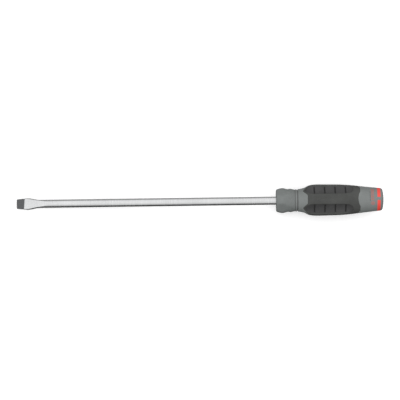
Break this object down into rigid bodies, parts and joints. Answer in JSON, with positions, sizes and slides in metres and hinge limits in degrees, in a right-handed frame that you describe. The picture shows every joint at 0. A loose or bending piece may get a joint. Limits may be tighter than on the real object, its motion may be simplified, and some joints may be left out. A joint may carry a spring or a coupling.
{
  "type": "slotted screwdriver",
  "caption": "Long slotted screwdriver with a flared keystone tip on a round chromed bar and a grey moulded handle with a fluted soft grip and a red end ring.",
  "frame": {"origin": "middle of the blade tip's end face, on the tool's axis", "axes": "+X runs along the tool's axis from the tip to the handle's end, +Y across the blade's width, +Z square to the blade's flats and up when it lies on them"},
  "size_m": [0.4308, 0.0366, 0.0366],
  "materials": {
    "steel": "bright chrome on a forged bar, with a black oxide tip",
    "core_red": "as moulded, hidden",
    "grey_plastic": "satin moulded plastic",
    "grip_rubber": "matt soft elastomer, fine texture",
    "pad_rubber": "matt soft elastomer, smooth",
    "red_plastic": "satin moulded plastic"
  },
  "bodies": {
    "root": {"blade": "steel", "core": "core_red", "bolster": "grey_plastic", "neck_ring": "grey_plastic", "handle_body": "grey_plastic", "grip_sleeve": "grip_rubber", "flute_pad_1": "pad_rubber", "flute_pad_2": "pad_rubber", "flute_pad_3": "pad_rubber", "flute_pad_4": "pad_rubber", "colour_ring": "red_plastic", "end_cap": "grey_plastic"}
  },
  "joints": []
}
